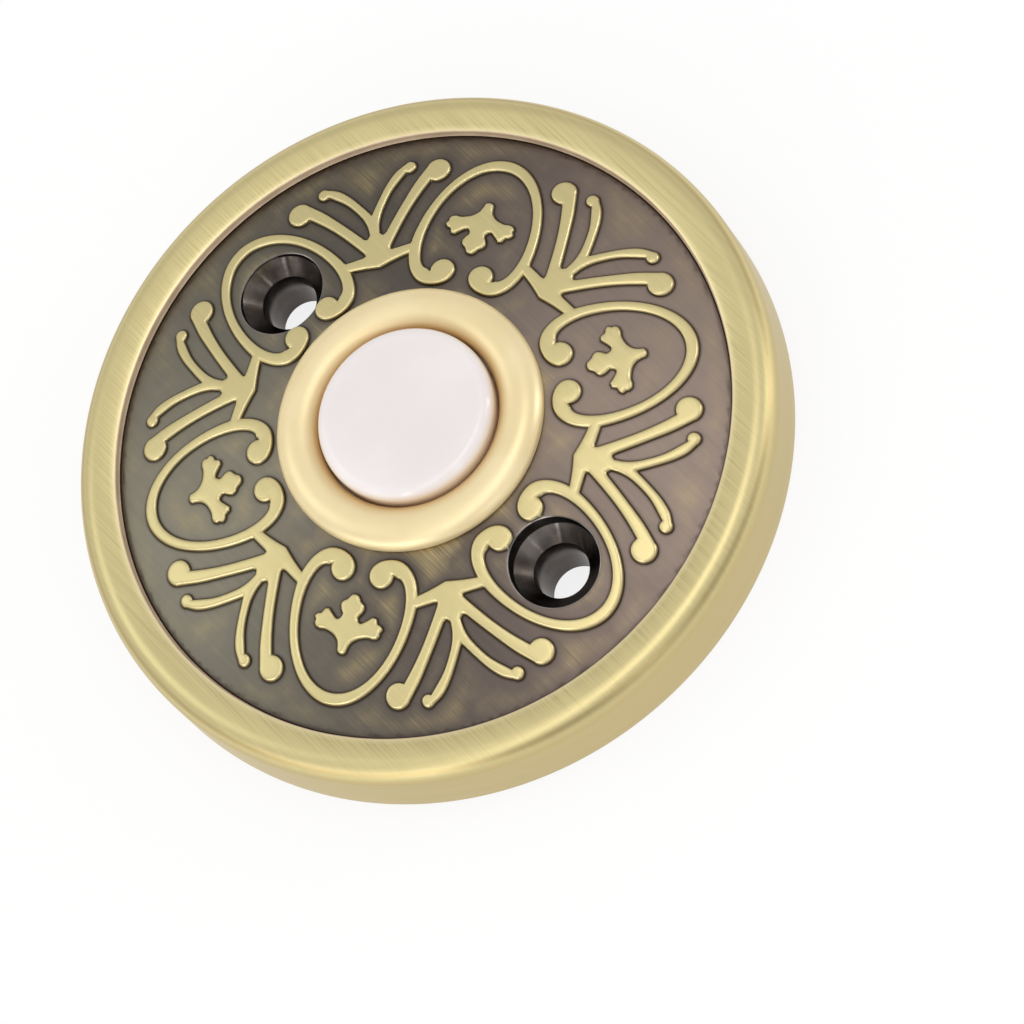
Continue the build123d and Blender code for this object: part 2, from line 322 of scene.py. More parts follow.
def mottledMaterial(name, finish):
    # a cloudy colour and roughness over a fine grain, with a painted shade tint where a mask says so
    material, tree, shader = startMaterial(name)
    clouds = placeGroup(tree, mottle, Scale=finish["clouds"], **cloudRange).outputs["Mask"]
    color = mixColors(tree, clouds, finish["dark"], finish["light"])
    if "mask" in finish:
        color = mixColors(tree, attributeValue(tree, finish["mask"]), color, finish["masked"])
    tree.links.new(color, shader.inputs["Base Color"])
    tree.links.new(spread(tree, clouds, *finish["roughness"]), shader.inputs["Roughness"])
    shader.inputs["Metallic"].default_value = finish["metallic"]
    grain = placeGroup(tree, surfaceGrain, Scale=finish["grain"], Coarse=finish["coarse"])
    bumpFrom(tree, grain.outputs["Height"], shader, *finish["bump"])
    return material


nickelFinish = {
    "clouds": 500.0,
    "dark": rgb(112, 107, 103),
    "light": rgb(146, 140, 135),
    "mask": "bore",
    # painted shade inside the bore
    "masked": rgb(58, 51, 47),
    "roughness": (0.14, 0.2),
    "metallic": 1.0,
    "anisotropy": 0.8,
    "grain": 3000.0,
    "coarse": 0.4,
    "bump": (0.08, 0.00002),
    "holeOffset": 18.75,
}


def blackNickelMaterial():
    # turned cones: the gloss runs up and down the cone, across the lathe lines
    material = mottledMaterial("blackNickel", nickelFinish)
    tree = material.node_tree
    links = tree.links
    shader = tree.nodes["Principled BSDF"]
    shader.inputs["Anisotropic"].default_value = nickelFinish["anisotropy"]
    place = addNode(tree, "ShaderNodeTexCoord")
    split = addNode(tree, "ShaderNodeSeparateXYZ")
    side = addNode(tree, "ShaderNodeMath", operation="SIGN")
    shift = addNode(tree, "ShaderNodeMath", operation="MULTIPLY_ADD")
    shift.inputs[1].default_value = -nickelFinish["holeOffset"] * mm
    outward = addNode(tree, "ShaderNodeCombineXYZ")
    links.new(place.outputs["Object"], split.inputs[0])
    links.new(split.outputs["Y"], side.inputs[0])
    links.new(side.outputs[0], shift.inputs[0])
    links.new(split.outputs["Y"], shift.inputs[2])
    links.new(split.outputs["X"], outward.inputs["X"])
    links.new(shift.outputs[0], outward.inputs["Y"])
    links.new(outward.outputs[0], shader.inputs["Tangent"])
    return material


castFinish = {
    "clouds": 220.0,
    "dark": rgb(112, 100, 74),
    "light": rgb(150, 137, 104),
    "roughness": (0.42, 0.6),
    "metallic": 1.0,
    "grain": 1800.0,
    "coarse": 0.6,
    "bump": (0.5, 0.00006),
}
goldFinish = {
    "clouds": 160.0,
    "dark": rgb(237, 217, 168),
    "light": rgb(243, 225, 179),
    "mask": "inner",
    # painted shade on the ring's inner slope
    "masked": rgb(206, 172, 118),
    "roughness": (0.32, 0.4),
    "metallic": 0.4,
    "grain": 9000.0,
    "coarse": 0.5,
    "bump": (0.12, 0.00001),
}
whiteFinish = {
    "clouds": 120.0,
    "dark": rgb(233, 226, 226),
    "light": rgb(237, 231, 231),
    "mask": "side",
    # painted warm shade and reflection of the ring on the button's side
    "masked": rgb(230, 208, 182),
    "roughness": (0.16, 0.22),
    "metallic": 0.0,
    "grain": 2500.0,
    "coarse": 0.3,
    "bump": (0.04, 0.00002),
    "subsurface": {"Weight": 0.5, "Scale": 0.002, "Radius": (1.0, 0.92, 0.85)},
}


def whiteMouldingMaterial():
    material = mottledMaterial("whiteMoulding", whiteFinish)
    shader = material.node_tree.nodes["Principled BSDF"]
    for label, value in whiteFinish["subsurface"].items():
        shader.inputs["Subsurface " + label].default_value = value
    return material


plainFinish = {"clouds": 420.0, "roughnessSpread": 0.06, "coarse": 0.5, "bump": (0.2, 0.00002)}


def plainMaterial(name, dark, light, metallic, roughness, grain):
    # a finish for the pieces behind the plate, and a paler, less metallic brass painted onto the rim's lip as
    # a painted highlight
    low, high = roughness - plainFinish["roughnessSpread"], roughness + plainFinish["roughnessSpread"]
    own = {"dark": dark, "light": light, "metallic": metallic, "roughness": (low, high), "grain": grain}
    return mottledMaterial(name, {**plainFinish, **own})


antiqueBrass = antiqueBrassMaterial()
blackNickel = blackNickelMaterial()
castBack = mottledMaterial("castBack", castFinish)
satinGold = mottledMaterial("satinGold", goldFinish)
whiteMoulding = whiteMouldingMaterial()
blackMoulding = plainMaterial("blackMoulding", rgb(30, 30, 31), rgb(44, 44, 45), 0.0, 0.5, 2600.0)
contactBrass = plainMaterial("contactBrass", rgb(196, 160, 84), rgb(222, 188, 110), 1.0, 0.32, 3000.0)
platedSteel = plainMaterial("platedSteel", rgb(176, 174, 168), rgb(206, 204, 198), 1.0, 0.28, 3000.0)
# a paler, less metallic brass for the rim's lip, a painted highlight where the lip would reflect the dark
# floor
rimLipPaintedLight = plainMaterial("rimLipPaintedLight", rgb(206, 182, 152), rgb(222, 198, 168), 0.25, 0.42, 3000.0)
springSteel = plainMaterial("springSteel", rgb(150, 150, 152), rgb(186, 186, 188), 1.0, 0.25, 3500.0)
print("finishes made")

# face plate: a domed casting with carved scrollwork and a plain rim
plate = {
    "radius": 31.75,
    "rimHeight": 7.0,
    "rimRound": 1.9,
    "rimEdge": (28.05, 6.65),
    "floorEdge": (27.85, 5.95),
    "stepFoot": ((27.6, 0.01), (27.76, 0.03)),
    "stepWall": ((27.86, 6.08), (27.93, 6.25), (27.97, 6.42)),
    "edgeShift": (0.06, -0.02),
    "edgeRound": 0.13,
    "crown": ((28.35, 6.82), (28.75, 6.89), (29.25, 6.96)),
    "lipLow": 6.16,
    "lipMargin": 0.05,
    "wallHeights": (3.4, 1.7),
    "domeRadius": 115.0,
    "baseChamfer": 0.4,
    "cavityRadius": 29.45,
    "thickness": 2.0,
    "undersideSteps": 14,
    "landRadius": 13.6,
    "barrelHole": 10.35,
    "ringRadius": 12.05,
    "seatRadius": 11.5,
    "seatLap": 0.1,
    "steps": 240,
}
frontSlot, backSlot, holeSlot, lipSlot = range(4)
screwHole = {
    "offset": nickelFinish["holeOffset"],
    "bore": 2.45,
    "boreBevel": (0.08, 0.06),
    "mouth": 3.9,
    "mouthBevel": (0.06, 0.08),
    "mouthRise": 0.05,
    "lip": 0.1,
    "boss": 4.85,
    "bossTop": 5.6,
    "bossCover": 1.0,
    "edge": 0.14,
    "edgeSoft": 0.05,
    "edgeDrops": (0.14, 0.04, 0.0),
    "steps": 72,
}
carving = {
    "height": 0.4,
    "sample": 0.2,
    "join": 0.02,
    "fill": 0.55,
    "fillGap": 0.42,
    "outset": 0.04,
    "rows": (0.3, 0.14, 0.065, 0.02, -0.02, -0.06, -0.1, -0.145, -0.2, -0.3),
    "rise": (0.0, 0.0, 0.03, 0.22, 0.5, 0.7, 0.83, 0.915, 0.97, 1.0),
    "rowSlack": 0.025,
    "cell": 0.025,
    "snap": 0.07,
    "margins": (0.15, 0.12),
    "station": 0.3,
    "rimSteps": 40,
    "holeRow": 0.2,
    "lap": 0.02,
    "slack": 0.01,
    "leastArea": 1e-5,
}

domeCenter = plate["floorEdge"][1] - math.sqrt(plate["domeRadius"] ** 2 - plate["floorEdge"][0] ** 2)


def domeHeight(radius, offset=0.0):
    return domeCenter + np.sqrt((plate["domeRadius"] + offset) ** 2 - np.square(radius))


def smoothLine(*knots):
    # a soft line through its knots, with a point every sample length
    knots = np.asarray(knots, float)
    ends = np.vstack([2 * knots[0] - knots[1], knots, 2 * knots[-1] - knots[-2]])
    points = []
    for before, here, there, beyond in zip(ends, ends[1:], ends[2:], ends[3:]):
        steps = max(2, int(np.ceil(np.linalg.norm(there - here) / carving["sample"])))
        t = (np.arange(steps) / steps)[:, None]
        slope = there - before
        bend = 2 * before - 5 * here + 4 * there - beyond
        twist = 3 * here - before - 3 * there + beyond
        points.append(0.5 * (2 * here + slope * t + bend * t**2 + twist * t**3))
    return np.vstack(points + [knots[-1:]])


def softArc(center, xRadius, yRadius, start, size):
    # an arc with a point every sample length, or every 14 degrees where that is finer
    length = math.radians(abs(size)) * (xRadius + yRadius) / 2
    steps = max(int(abs(size) / 14), math.ceil(length / carving["sample"]))
    return arcPoints(center, xRadius, yRadius, start, size, steps)


def wholeOutline(*stretches):
    # joins the stretches of one half and mirrors them
    half = np.vstack(stretches)
    half = half[np.r_[True, np.linalg.norm(np.diff(half, axis=0), axis=1) > carving["join"]]]
    return np.vstack([half, (half * (-1, 1))[::-1]])


scrollOutline = wholeOutline(
    softArc((0, 16.6), 5.68, 8.9, 90, -90),
    softArc((2.9, 16.6), 2.78, 4.2, 0, -90),
    softArc((2.9, 13.95), 2.15, 1.55, 270, -90),
    softArc((1.83, 13.95), 1.08, 1.08, 180, -196),
    softArc((3.3, 17.3), 1.5, 3.45, 270, 90),
    softArc((0, 17.3), 4.8, 7.2, 0, 90),
)
fanOutline = wholeOutline(
    smoothLine((0, 15.25), (1.5, 15.58), (3.25, 15.82)),
    smoothLine((3.6, 16.66), (2.6, 16.66), (1.5, 16.66)),
    smoothLine(
        (1.5, 16.66), (1.25, 16.7), (1.15, 16.95), (2.15, 18.45), (3.3, 20.0), (4.5, 21.38), (5.72, 22.6)
    ),
    softArc((6.5, 23.4), 1.1, 1.1, 226, 268),
    smoothLine((5.7, 24.12), (4.3, 22.7), (3.0, 21.1), (1.95, 19.75), (1.05, 18.55)),
    smoothLine((1.05, 18.55), (0.74, 18.4), (0.44, 18.75)),
    smoothLine((0.44, 18.75), (0.55, 19.8), (1.0, 21.0), (2.1, 22.7), (3.65, 24.2)),
    softArc((4.05, 24.6), 0.54, 0.54, 225, 256),
    smoothLine((3.78, 25.04), (2.7, 24.45), (1.75, 23.45), (0.8, 22.05), (0, 20.75)),
)
leafOutline = wholeOutline(
    softArc((0, 20.82), 0.4, 0.3, 90, -70),
    smoothLine((0.42, 20.62), (0.62, 20.1), (1.15, 19.62), (1.95, 19.34), (2.55, 19.36)),
    smoothLine(
        (2.9, 19.26), (3.08, 18.96), (3.02, 18.76), (3.2, 18.44), (2.95, 18.16), (2.66, 18.08), (2.42, 17.66)
    ),
    smoothLine((2.1, 17.6), (1.62, 18.02), (1.2, 18.32), (0.92, 18.26), (0.72, 17.98)),
    smoothLine(
        (0.72, 17.78), (0.96, 17.42), (1.08, 17.04), (0.94, 16.72), (0.62, 16.5), (0.3, 16.06), (0, 15.98)
    ),
)

halfSector = math.radians(30)
fanAxis = np.array([math.sin(halfSector), math.cos(halfSector)])
edgeNormal = np.array([math.cos(halfSector), -math.sin(halfSector)])
fanTurn = np.array([-edgeNormal, fanAxis])
fanOutline = fanOutline @ fanTurn  # the fan stands on the edge between two sectors


def flatCross(first, second):
    return first[..., 0] * second[..., 1] - first[..., 1] * second[..., 0]


def signedDistance(points, outline):
    # distance to a closed outline, negative inside
    nearest = np.full(len(points), 1e9)
    inside = np.zeros(len(points), bool)
    for start, end in zip(outline, np.roll(outline, -1, axis=0)):
        along = end - start
        share = np.clip((points - start) @ along / max(along @ along, 1e-12), 0, 1)
        nearest = np.minimum(nearest, np.linalg.norm(points - start - share[:, None] * along, axis=1))
        crosses = (start[1] > points[:, 1]) != (end[1] > points[:, 1])
        rise = along[1] if along[1] else 1e-12
        inside ^= crosses & (points[:, 0] < start[0] + (points[:, 1] - start[1]) / rise * along[0])
    return np.where(inside, -nearest, nearest)


def carvedDistance(points, outlines):
    return np.min([signedDistance(points, outline) for outline in outlines], axis=0) - carving["outset"]


def offsetRows(outline, outlines):
    # rows of points beside the outline, kept where no other edge is nearer
    ahead = np.roll(outline, -1, axis=0) - np.roll(outline, 1, axis=0)
    length = np.linalg.norm(ahead, axis=1, keepdims=True)
    turned = np.sum(flatCross(outline, np.roll(outline, -1, axis=0)))
    outward = np.column_stack([ahead[:, 1], -ahead[:, 0]]) / np.maximum(length, 1e-9) * np.sign(turned)
    kept = []
    for distance in carving["rows"]:
        row = outline + outward * (distance + carving["outset"])
        kept.append(row[np.abs(carvedDistance(row, outlines) - distance) < carving["rowSlack"]])
    return np.vstack(kept)


def sectorMesh(withHole):
    # half a sector, from the middle of a loop to the middle of a fan, as points, faces and distances
    outlines = [scrollOutline, fanOutline] + ([] if withHole else [leafOutline])
    inner, outer = plate["seatRadius"], plate["floorEdge"][0] + carving["lap"]
    rows = np.vstack([offsetRows(outline, outlines) for outline in outlines])
    spacing = carving["fill"]
    # even triangles over a box a little wider than the half sector
    columns, lines = np.arange(0, outer * 0.55, spacing), np.arange(inner * 0.8, outer, spacing * 0.866)
    gridX, gridY = np.meshgrid(columns, lines)
    gridX = gridX + (np.arange(len(gridY)) % 2)[:, None] * spacing / 2
    fill = np.column_stack([gridX.ravel(), gridY.ravel()])
    fill = fill[np.abs(carvedDistance(fill, outlines)) > carving["fillGap"]]
    points = np.vstack([rows, fill])
    # points near either edge of the half sector are moved onto it, and points outside go
    points[np.abs(points[:, 0]) < carving["snap"], 0] = 0
    beyond = points @ edgeNormal
    close = np.abs(beyond) < carving["snap"]
    points[close] -= beyond[close, None] * edgeNormal
    points = points[(points[:, 0] >= 0) & (points @ edgeNormal < 1e-9)]
    radius = np.linalg.norm(points, axis=1)
    innerMargin, outerMargin = carving["margins"]
    points = points[(radius > inner + innerMargin) & (radius < outer - outerMargin)]
    stations = np.arange(inner, outer, carving["station"])[:, None]
    turns = np.linspace(0, halfSector, carving["rimSteps"])
    rim = np.column_stack([np.sin(turns), np.cos(turns)])
    points = np.vstack([points, stations * (0, 1), stations * fanAxis, inner * rim, outer * rim])
    center = np.array([0, screwHole["offset"]])
    mouth = screwHole["mouth"] + screwHole["edge"]
    if withHole:
        points = points[np.linalg.norm(points - center, axis=1) > mouth + outerMargin]
        turns = np.linspace(-math.pi / 2, math.pi / 2, screwHole["steps"] // 2 + 1)
        circle = np.column_stack([np.cos(turns), np.sin(turns)])
        points = np.vstack([points, center + mouth * circle, center + (mouth + carving["holeRow"]) * circle])
        points[np.abs(points[:, 0]) < 1e-6, 0] = 0
    cells = np.unique(np.round(points / carving["cell"]), axis=0, return_index=True)[1]
    points = points[np.sort(cells)]
    flat, _, faces = delaunay_2d_cdt([Vector(p) for p in points], [], [], 0, 1e-5)[:3]
    flat = np.array([tuple(p) for p in flat])
    middles = np.array([flat[list(face)].mean(axis=0) for face in faces])
    corners = flat[np.array([tuple(face) for face in faces])]
    areas = np.abs(flatCross(corners[:, 1] - corners[:, 0], corners[:, 2] - corners[:, 0])) / 2
    good = (np.linalg.norm(middles, axis=1) > inner - carving["slack"]) & (areas > carving["leastArea"])
    if withHole:
        good &= np.linalg.norm(middles - center, axis=1) > mouth - carving["slack"]
    faces = [tuple(face) for face, keep in zip(faces, good) if keep]
    return flat, faces, carvedDistance(flat, outlines)


def plateFace():
    # the twelve half sectors side by side
    allPoints, allFaces, allDistances, first = [], [], [], 0
    halves = {hole: sectorMesh(hole) for hole in (True, False)}
    for sector in range(6):
        flat, faces, distances = halves[sector % 3 == 0]
        turn = math.radians(60 * sector)
        for side in (1, -1):
            x, y = flat[:, 0] * side, flat[:, 1]
            turnedX = x * math.cos(turn) - y * math.sin(turn)
            turnedY = x * math.sin(turn) + y * math.cos(turn)
            turned = np.column_stack([turnedX, turnedY])
            allPoints.append(turned)
            allDistances.append(distances)
            for face in faces:
                area = flatCross(turned[face[1]] - turned[face[0]], turned[face[2]] - turned[face[0]])
                face = face if area > 0 else face[::-1]
                allFaces.append(tuple(first + corner for corner in face))
            first += len(flat)
    flat, distances = np.vstack(allPoints), np.concatenate(allDistances)
    rise = np.interp(distances, carving["rows"][::-1], carving["rise"][::-1])
    height = domeHeight(np.linalg.norm(flat, axis=1)) + carving["height"] * rise
    return np.column_stack([flat, height]), allFaces, distances


facePoints, faceFaces, faceDistances = plateFace()

rimTop = plate["radius"] - plate["rimRound"]
edgeX, edgeZ = plate["rimEdge"]
edgeCenter = (edgeX + plate["edgeShift"][0], edgeZ + plate["edgeShift"][1])
edgeRound, rimRound, baseChamfer = plate["edgeRound"], plate["rimRound"], plate["baseChamfer"]
cavityCorner = float(domeHeight(plate["cavityRadius"], -plate["thickness"]))
landHeight = float(domeHeight(plate["landRadius"], -plate["thickness"]))
seatHeight = float(domeHeight(plate["ringRadius"]))
underside = np.linspace(
    (plate["cavityRadius"], cavityCorner), (plate["landRadius"], landHeight), plate["undersideSteps"]
)
frontProfile = np.vstack([
    [(radius, float(domeHeight(radius)) + rise) for radius, rise in plate["stepFoot"]],
    plate["stepWall"],
    arcPoints(edgeCenter, edgeRound, edgeRound, 180, -80, 4),
    smoothLine(*plate["crown"], (rimTop, plate["rimHeight"]))[::2],
    arcPoints((rimTop, plate["rimHeight"] - rimRound), rimRound, rimRound, 86, -86, 18),
    [(plate["radius"], height) for height in plate["wallHeights"]],
    arcPoints((plate["radius"] - baseChamfer, baseChamfer), baseChamfer, baseChamfer, 0, -90, 5),
])
backProfile = np.vstack([
    [frontProfile[-1], (plate["cavityRadius"], 0), (plate["cavityRadius"], cavityCorner)],
    underside[1:],
    [
        (plate["barrelHole"], landHeight),
        (plate["barrelHole"], seatHeight),
        (plate["seatRadius"] + plate["seatLap"], seatHeight),
    ],
])
mouth, bore, boss = screwHole["mouth"], screwHole["bore"], screwHole["boss"]
countersinkTop = float(domeHeight(screwHole["offset"] + mouth)) - screwHole["lip"]
boreTop = countersinkTop - (mouth - bore)


def turnedFaces(profile, slot, first):
    # faces and slots of a turned profile, left open where the bosses fill the back
    grid = latheGrid(profile, plate["steps"]).reshape(-1, 3)
    faces, slots = [], []
    for face in gridFaces(len(profile), plate["steps"], first):
        x, y, z = grid[np.array(face) - first].mean(axis=0)
        inBoss = math.hypot(x, abs(y) - screwHole["offset"]) < boss - screwHole["bossCover"]
        # the rim's lip takes the paler finish, a painted highlight
        onLip = math.hypot(x, y) < edgeX + plate["lipMargin"] and z > plate["lipLow"]
        if slot == backSlot and inBoss:
            continue
        faces.append(face)
        slots.append(lipSlot if slot == frontSlot and onLip else slot)
    return grid, faces, slots


def bossRings(side):
    # down the boss, in to the bore, up its wall and out over the cone to the face
    boreOut, boreRise = screwHole["boreBevel"]
    mouthIn, mouthDrop = screwHole["mouthBevel"]
    edgeSteps = (0, screwHole["edgeSoft"], screwHole["edge"])
    profile = [
        (boss, screwHole["bossTop"]),
        (boss, 0),
        (bore, 0),
        (bore, boreTop - boreOut),
        (bore + boreOut, boreTop + boreRise),
        (mouth - mouthIn, countersinkTop - mouthDrop),
        (mouth, countersinkTop + screwHole["mouthRise"]),
    ]
    turns = np.arange(screwHole["steps"]) / screwHole["steps"] * 2 * np.pi
    rings = []
    for radius, height in profile + [(mouth + step, None) for step in edgeSteps]:
        x, y = radius * np.cos(turns), side * screwHole["offset"] + radius * np.sin(turns)
        if height is None:
            height = domeHeight(np.hypot(x, y)) - np.interp(radius - mouth, edgeSteps, screwHole["edgeDrops"])
        rings.append(np.column_stack([x, y, np.broadcast_to(height, x.shape)]))
    return rings


def plateMesh():
    # the carved face, the turned rim and back, and the two bosses with their countersinks
    points, faces, slots = [facePoints], list(faceFaces), [frontSlot] * len(faceFaces)
    total = len(facePoints)
    for slot, profile in ((frontSlot, frontProfile), (backSlot, backProfile)):
        grid, newFaces, newSlots = turnedFaces(profile, slot, total)
        points.append(grid)
        faces += newFaces
        slots += newSlots
        total += len(grid)
    steps = screwHole["steps"]
    for side in (1, -1):
        rings = bossRings(side)
        newFaces = gridFaces(len(rings), steps, total)
        points.append(np.vstack(rings))
        faces += newFaces
        slots += [backSlot if index < 2 * steps else holeSlot for index in range(len(newFaces))]
        total += len(rings) * steps
    return np.vstack(points), faces, slots


platePoints, plateFaces, plateSlots = plateMesh()
plateFinishes = [antiqueBrass, castBack, blackNickel, rimLipPaintedLight]
facePlate = makePiece("facePlate", platePoints, plateFaces, plateFinishes, "case", plateSlots)
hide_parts("face_plate")


# masks for the finish: pairs lead from a distance, a radius or a height to a share
plateMasks = {
    "carved": ((-0.04, 0.03), (1, 0)),
    # patina with painted shade at the feet of the carving and of the rim's step
    "footPatinaAndShade": ((0.0, 0.03, 0.07, 0.14, 0.3), (0.7, 1, 0.9, 0.4, 0)),
    "rimFootPatinaAndShade": ((0.0, 0.12, 0.32), (1, 0.95, 0)),
    # edge and rimEdge lead to the painted highlight along the carved edges and the rim's inner edge
    "edge": ((-0.2, -0.1, -0.02, 0.02), (0, 0.6, 0.6, 0)),
    "rimEdge": ((-0.6, -0.3, 0.1), (0, 0.9, 0.9)),
    "rimStep": ((0.2, 0.3), (0, 1)),
    # painted dark reflection on the rim's shoulder, placed by the radius and height below
    "shoulderDarkReflection": ((0.06, 0.26), (0.45, 0)),
    "open": ((0.3, 1.5), (0, 1)),
    "hub": ((12, 14, 20, 26), (1, 0.8, 0.6, 0.5)),
    "rim": ((-2.2, -1.2, -0.2), (0.1, 0.5, 1)),
    "wall": ((31.45, 31.7), (0, 1)),
    "bore": ((-0.3, 0.05), (1, 0)),
    "darkReflectionRadius": 31.2,
    "darkReflectionLow": 6,
    "toneSlope": (0.75, -0.66),
    "toneLength": 30,
    "rimReach": 0.15,
    "faceGap": 0.02,
    "farAway": 9.0,
}


def paintPlate():
    # carved tops and rim, dark patina with painted shade along their feet, worn middle, painted highlights on
    # the edges, a painted sheen on the floor and a painted dark reflection on the rim's shoulder
    mesh = facePlate.data
    count = len(mesh.vertices)
    place = np.empty(count * 3)
    mesh.vertices.foreach_get("co", place)
    place = place.reshape(-1, 3) / mm
    x, y, z = place.T
    radius = np.hypot(x, y)
    tree = KDTree(len(facePoints))
    for index, point in enumerate(facePoints):
        tree.insert(point, index)
    tree.balance()
    nearest = [tree.find(point) for point in place]
    faceGap, farAway = plateMasks["faceGap"], plateMasks["farAway"]
    distance = np.array([faceDistances[index] if gap < faceGap else farAway for _, index, gap in nearest])
    floorRadius, floorHeight = plate["floorEdge"]
    fromRim = floorRadius - radius

    def mask(name, values):
        return np.interp(values, *plateMasks[name])

    # edge is the painted highlight along the carved edges
    carved, edge = mask("carved", distance), mask("edge", distance)
    # dark patina with painted shade along the feet, and at the foot of the rim's step below
    footPatinaAndShade = np.maximum(mask("footPatinaAndShade", distance), mask("rimFootPatinaAndShade", fromRim))
    step = mask("rimStep", z - floorHeight)
    step[fromRim < -plateMasks["rimReach"]] = 1
    rimSide = fromRim < plateMasks["rimReach"]
    carved[rimSide] = step[rimSide]
    footPatinaAndShade[rimSide] = 1 - step[rimSide]
    # painted highlight along the rim's inner edge
    edge[rimSide] = mask("rimEdge", fromRim)[rimSide]
    # painted dark reflection in a line along the rim's shoulder
    darkReflection = mask("shoulderDarkReflection", np.abs(radius - plateMasks["darkReflectionRadius"]))
    darkReflection[z < plateMasks["darkReflectionLow"]] = 0
    # painted sheen on the floor, lighter and darker twice around the plate
    paintedSheenTurn = np.arctan2(y, x) - math.radians(brassFinish["paintedSheenAngle"])
    toneX, toneY = plateMasks["toneSlope"]
    tone = (toneX * x + toneY * y) / plateMasks["toneLength"]
    masks = {
        "carved": carved,
        "footPatinaAndShade": footPatinaAndShade,
        "shoulderDarkReflection": darkReflection,
        "edge": edge,
        "open": mask("open", np.minimum(distance, fromRim)),
        "paintedSheen": 0.5 + 0.5 * np.cos(2 * paintedSheenTurn),
        "hub": mask("hub", radius),
        "tone": np.clip(0.5 + tone, 0, 1),
        "rim": np.where(rimSide, mask("rim", fromRim), 0),
        "wall": mask("wall", radius),
        # painted shade inside the bore
        "bore": mask("bore", z - boreTop),
    }
    for name, values in masks.items():
        mesh.attributes.new(name, "FLOAT", "POINT").data.foreach_set("value", values.astype(np.float32))


paintPlate()

# ring: a soft gold bead with the barrel behind it
ring = {
    "radius": plate["ringRadius"],
    "opening": 8.14,
    "crest": 10.1,
    "height": 1.85,
    "widest": 0.55,
    "underturn": 0.4,
    "innerDrop": 1.2,
    "lip": 0.4,
    "barrel": (10.2, 9.2, 8.9),
    "base": (2.0, 3.8),
    "window": (3.4, 2.4),
    "windowSteps": 7,
    # painted shade on the ring's inner slope, by radius
    "innerPaintedShade": ((8.2, 8.6, 9.4), (1, 0.5, 0)),
    "steps": 192,
}
crestHeight = seatHeight + ring["height"]
widestHeight = seatHeight + ring["widest"]
innerHeight = crestHeight - ring["innerDrop"]
lipHeight = seatHeight - ring["lip"]
barrelOut, barrelBore, flangeBore = ring["barrel"]
baseLow, baseHigh = ring["base"]
windowHigh, windowLow = ring["window"]
crest, opening = ring["crest"], ring["opening"]
underturn = ring["underturn"]
beadHeight = crestHeight - widestHeight
ringProfile = np.vstack([
    [(opening, lipHeight)],
    arcPoints((crest, innerHeight), crest - opening, ring["innerDrop"], 180, -90, 16),
    arcPoints((crest, widestHeight), ring["radius"] - crest, beadHeight, 90, -90, 16)[1:],
    arcPoints((ring["radius"] - underturn, widestHeight), underturn, ring["widest"], 0, -90, 8)[1:],
    [(barrelOut, seatHeight), (barrelOut, windowHigh), (barrelOut, windowLow), (barrelOut, baseLow),
     (barrelBore, baseLow), (barrelBore, windowLow), (barrelBore, windowHigh), (barrelBore, baseHigh),
     (flangeBore, baseHigh), (flangeBore, lipHeight), (opening, lipHeight)],
])


def ringFaces():
    # the turned faces, opened at the two windows that the lugs of the base snap into
    steps, wide = ring["steps"], ring["windowSteps"]
    outHigh = len(ringProfile) - 10  # the profile's row at the upper edge of the windows, outside
    outLow, inLow, inHigh = outHigh + 1, outHigh + 4, outHigh + 5
    faces = gridFaces(len(ringProfile), steps)
    opened, jambs = set(), []
    for middle in (steps // 4, 3 * steps // 4):
        first, last = middle - wide, middle + wide
        for step in range(first, last):
            opened |= {outHigh * steps + step, inLow * steps + step}
            for outer, inner in ((outHigh, inHigh), (inLow, outLow)):
                a, b = outer * steps + step, inner * steps + step
                jambs.append((a, a + 1, b + 1, b))
        for step, order in ((first, 1), (last, -1)):
            corners = [row * steps + step for row in (outHigh, inHigh, inLow, outLow)]
            jambs.append(tuple(corners[::order]))
    return [face for index, face in enumerate(faces) if index not in opened] + jambs


ringPoints = latheGrid(ringProfile, ring["steps"]).reshape(-1, 3)
buttonRing = makePiece("buttonRing", ringPoints, ringFaces(), [satinGold], "case")
# painted shade on the ring's inner slope
innerPaintedShade = buttonRing.data.attributes.new("inner", "FLOAT", "POINT")
for vertex, mask in zip(buttonRing.data.vertices, innerPaintedShade.data):
    mask.value = np.interp(math.hypot(vertex.co.x, vertex.co.y) / mm, *ring["innerPaintedShade"])
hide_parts("button_ring")

# button: a white moulding with a rounded edge, hollow behind
button = {
    "radius": 7.94,
    "top": 2.65,
    "round": 1.1,
    "roof": 1.6,
    "wall": 1.3,
    "crown": 0.04,
    "crownKnots": ((3.0, 0.2), (5.6, 0.55)),
    "flange": 8.82,
    "flangeGap": 0.05,
    "flangeHeight": 1.0,
    "stem": 3.2,
    "neck": 2.9,
    "springBore": 2.4,
    "discLow": 5.8,
    "discHeight": 0.3,
    "tip": 0.35,
    # painted warm shade and reflection on the button's side, by depth below the top
    "sidePaintedShade": ((0.3, 1.2), (0, 1)),
    "steps": 160,
}
buttonTop = seatHeight + button["top"]
roofHeight = buttonTop - button["roof"]
flangeTop = lipHeight - button["flangeGap"]
flangeLow = flangeTop - button["flangeHeight"]
discLow, discTop = button["discLow"], button["discLow"] + button["discHeight"]
tipLow = discLow - button["tip"]
buttonRound = button["round"]
hollow = button["radius"] - button["wall"]
roundCenter = (button["radius"] - buttonRound, buttonTop - buttonRound - button["crown"])
